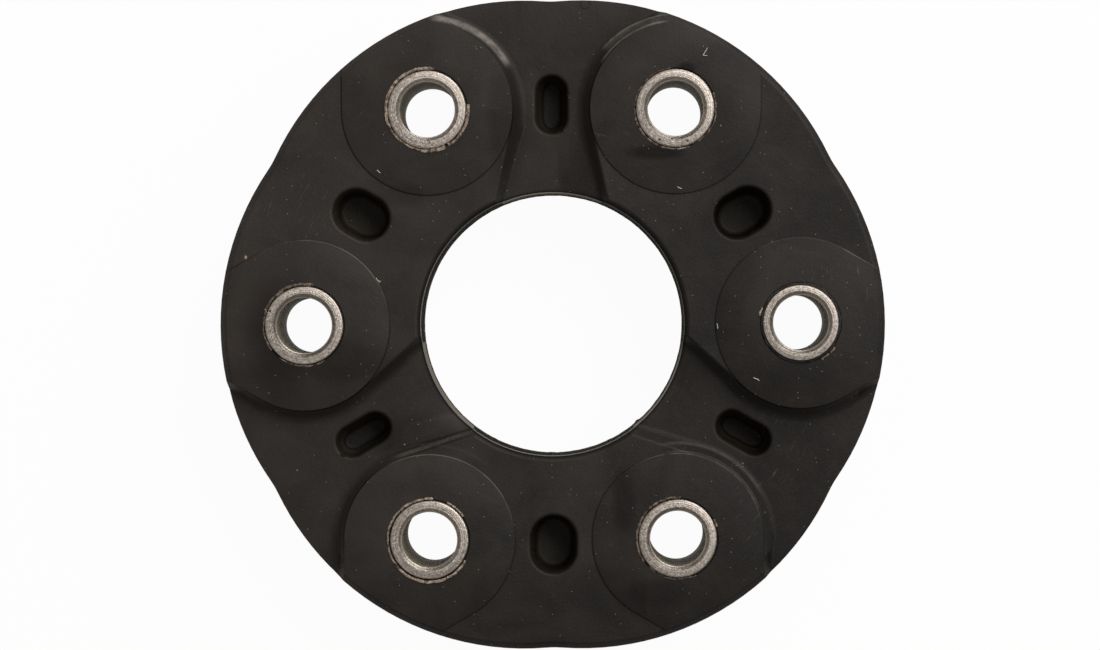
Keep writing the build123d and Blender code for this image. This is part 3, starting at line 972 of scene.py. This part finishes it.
def makeBush(centre):
    mesh = bmesh.new()
    corners = [(bush["boreRadius"], -bushLevel), (bushRadius, -bushLevel),
               (bushRadius, bushLevel), (bush["boreRadius"], bushLevel)]
    loop = [mesh.verts.new((x, 0, z)) for x, z in corners]
    edges = [mesh.edges.new((loop[i - 1], loop[i])) for i in range(4)]
    bmesh.ops.spin(mesh, geom=loop + edges, cent=(0, 0, 0), axis=(0, 0, 1), angle=math.tau,
                   steps=bush["steps"], use_merge=True)
    bmesh.ops.remove_doubles(mesh, verts=mesh.verts, dist=0.005 * mm)
    bmesh.ops.recalc_face_normals(mesh, faces=mesh.faces)
    for radius, size, segments in ((bushRadius, bush["outerRound"], bush["outerSegments"]),
                                   (bush["boreRadius"], bush["mouthBevel"], 1)):
        rims = [e for e in mesh.edges
                if all(abs(v.co.xy.length - radius) < 0.05 * mm and abs(abs(v.co.z) - bushLevel) < 0.05 * mm
                       for v in e.verts) and abs(e.verts[0].co.z - e.verts[1].co.z) < 0.05 * mm]
        bmesh.ops.bevel(mesh, geom=rims, offset=size, affect="EDGES", segments=segments,
                        profile=0.5, material=-1)
    bmesh.ops.translate(mesh, verts=mesh.verts, vec=(centre.x, centre.y, 0))
    return mesh


for i, centre in enumerate(bushCentres):
    piece = addPiece(f"steelBush{i + 1}", makeBush(centre), steel, sharpAngle=32)
    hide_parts(bushNames[i])
print("bushes made")


# Rubber lips: the ragged skin of rubber left round each bush, torn away in places

lip = {
    "height": 0.35 * mm,
    "stepAngle": 2,          # degrees
    "slowRaggedness": 0.18 * mm,
    "quickRaggedness": 0.12 * mm,
    "seed": 5,               # without one, noise_vector differs from run to run
}
# the arcs of skin left round each bush: start and end in degrees, inner and outer radius in
# millimetres, height as a share, and which material (0 rust-stained, 1 brown, 2 clean rubber)
lipArcs = {
    "bush_1": [(0, 360, 7.95, 8.6, 0.9, 2), (158, 170, 8.6, 9.1, 1.0, 0), (299, 312, 8.6, 9.15, 1.0, 0),
               (315, 323, 8.55, 9.1, 1.0, 0)],
    "bush_2": [(96, 176, 8.4, 8.72, 0.5, 1), (180, 246, 8.42, 8.85, 0.6, 1), (248, 290, 8.45, 8.8, 0.6, 0),
               (296, 382, 8.4, 8.78, 0.6, 1)],
    "bush_3": [(80, 200, 8.42, 9.15, 1.0, 0), (200, 262, 8.42, 8.9, 0.9, 0), (262, 296, 8.42, 9.2, 1.0, 0),
               (301, 367, 8.42, 9.15, 1.0, 0)],
    "bush_4": [(76, 120, 8.42, 9.15, 0.9, 1), (118, 158, 8.42, 9.1, 0.9, 1), (158, 218, 8.42, 8.85, 0.6, 1),
               (232, 300, 8.42, 8.85, 0.5, 1)],
    "bush_5": [(34, 64, 8.42, 8.95, 0.8, 0), (84, 134, 8.42, 9.0, 0.9, 0), (135, 217, 8.58, 9.1, 0.9, 0),
               (218, 231, 8.6, 9.15, 1.0, 0), (231.6, 263, 8.6, 9.3, 1.0, 0), (263.6, 292.4, 8.6, 9.3, 1.0, 0),
               (294, 330, 8.55, 9.15, 0.9, 0)],
    "bush_6": [(86, 124, 8.42, 9.0, 0.8, 1), (124, 214, 8.42, 8.95, 0.7, 1), (224, 296, 8.42, 8.75, 0.4, 1),
               (17, 27, 8.45, 8.9, 0.7, 0)],
}


def makeLip(centre, arcs, seed):
    mesh = bmesh.new()
    for start, end, inner, outer, share, slot in arcs:
        low = faceLevel - 0.3 * mm
        high = faceLevel + padShape["rise"] + lip["height"] * share
        across = outer - inner
        corners = [(inner, low), (inner + 0.08 * across, high - 0.1 * mm), (inner + 0.35 * across, high),
                   (inner + 0.85 * across, high - 0.12 * mm), (outer, low)]
        first = math.radians(start)
        loop = [mesh.verts.new((x * mm * math.cos(first), x * mm * math.sin(first), z)) for x, z in corners]
        edges = [mesh.edges.new((loop[n - 1], loop[n])) for n in range(5)]
        steps = max(int((end - start) / lip["stepAngle"]), 2)
        known = set(mesh.faces)
        spun = bmesh.ops.spin(mesh, geom=loop + edges, cent=(0, 0, 0), axis=(0, 0, 1),
                              angle=math.radians(end - start), steps=steps)
        if end - start < 360:
            last = [part for part in spun["geom_last"] if isinstance(part, bmesh.types.BMEdge)]
            bmesh.ops.contextual_create(mesh, geom=edges)
            bmesh.ops.contextual_create(mesh, geom=last)
        for face in mesh.faces:
            if face not in known:
                face.material_index = slot
    bmesh.ops.remove_doubles(mesh, verts=mesh.verts, dist=0.001 * mm)
    bmesh.ops.recalc_face_normals(mesh, faces=mesh.faces)
    for v in mesh.verts:
        if v.co.z > faceLevel - 0.3 * mm:
            push = noise.noise_vector(v.co * 500 + Vector((seed, 0, 0))) * lip["slowRaggedness"]
            push += noise.noise_vector(v.co * 1700) * lip["quickRaggedness"]
            v.co += push
            v.co.z = min(v.co.z, bushLevel - 0.05 * mm)
    bmesh.ops.translate(mesh, verts=mesh.verts, vec=(centre.x, centre.y, 0))
    return mesh


noise.seed_set(lip["seed"])
for i, name in enumerate(bushNames):
    piece = addPiece(f"rubberLip{i + 1}", makeLip(bushCentres[i], lipArcs[name], i), rustySkin,
                     sharpAngle=60)
    piece.data.materials.append(brownSkin)
    piece.data.materials.append(rubber)
print("lips made")


# Floor and lights: a white sheet just under the bushes, a soft box over the upper right, a low strip
# beyond it and a faint fill from the left

studio = {
    "floorLevel": -bushLevel - 0.05 * mm,
    "floorSize": 3.0,
    "paper": "#f2f2f2",
    "seenWhite": 0.96,       # share of plain white that the camera and reflections see
    "room": 0.32,            # strength of the light from all round
}
# place and size in metres, and power in watts
lamps = {
    "KeySoftBox": ((0.55, 0.55, 0.93), (0.9, 0.9), 10.2),
    "NorthEastStrip": ((0.5, 1.0, 0.3), (0.9, 0.25), 2.6),
    "LeftFill": ((-0.9, 0.45, 0.5), (0.5, 0.9), 0.35),
}


def makeFloor():
    mesh = bmesh.new()
    bmesh.ops.create_grid(mesh, x_segments=1, y_segments=1, size=studio["floorSize"])
    bmesh.ops.translate(mesh, verts=mesh.verts, vec=(0, 0, studio["floorLevel"]))
    data = bpy.data.meshes.new("Floor")
    mesh.to_mesh(data)
    mesh.free()
    sheet = bpy.data.objects.new("Floor", data)
    bpy.context.scene.collection.objects.link(sheet)
    # Matt white paper: plain white to the camera, and darker only where the disc shades it.
    material, tree = newMaterial("white paper sweep")
    seen = addNode(tree, "ShaderNodeLightPath")
    direct = addNode(tree, "ShaderNodeMath", {"operation": "MAXIMUM"},
                     {0: seen.outputs["Is Camera Ray"], 1: seen.outputs["Is Glossy Ray"]})
    share = addNode(tree, "ShaderNodeMath", {"operation": "MULTIPLY", 1: studio["seenWhite"]},
                    {0: direct.outputs["Value"]})
    paper = addNode(tree, "ShaderNodeBsdfDiffuse", {"Color": linearColour(studio["paper"])})
    white = addNode(tree, "ShaderNodeEmission", {"Strength": 1.0})
    mix = addNode(tree, "ShaderNodeMixShader", links={"Fac": share.outputs["Value"], 1: paper.outputs["BSDF"],
                                                      2: white.outputs["Emission"]})
    addNode(tree, "ShaderNodeOutputMaterial", links={"Surface": mix.outputs["Shader"]})
    data.materials.append(material)


makeFloor()


def makeLamp(name, place, size, power):
    lamp = bpy.data.lights.new(name, "AREA")
    lamp.shape = "RECTANGLE"
    lamp.size, lamp.size_y = size
    lamp.energy = power
    lampObject = bpy.data.objects.new(name, lamp)
    bpy.context.scene.collection.objects.link(lampObject)
    lampObject.location = place
    lampObject.rotation_euler = (-Vector(place)).to_track_quat("-Z", "Y").to_euler()


for name, (place, size, power) in lamps.items():
    makeLamp(name, place, size, power)

scene = bpy.context.scene
scene.view_settings.view_transform = "Standard"
world = bpy.data.worlds.new("StudioRoom")
scene.world = world
world.use_nodes = True
world.node_tree.nodes["Background"].inputs["Color"].default_value = (1, 1, 1, 1)
world.node_tree.nodes["Background"].inputs["Strength"].default_value = studio["room"]
print("floor and lights made")
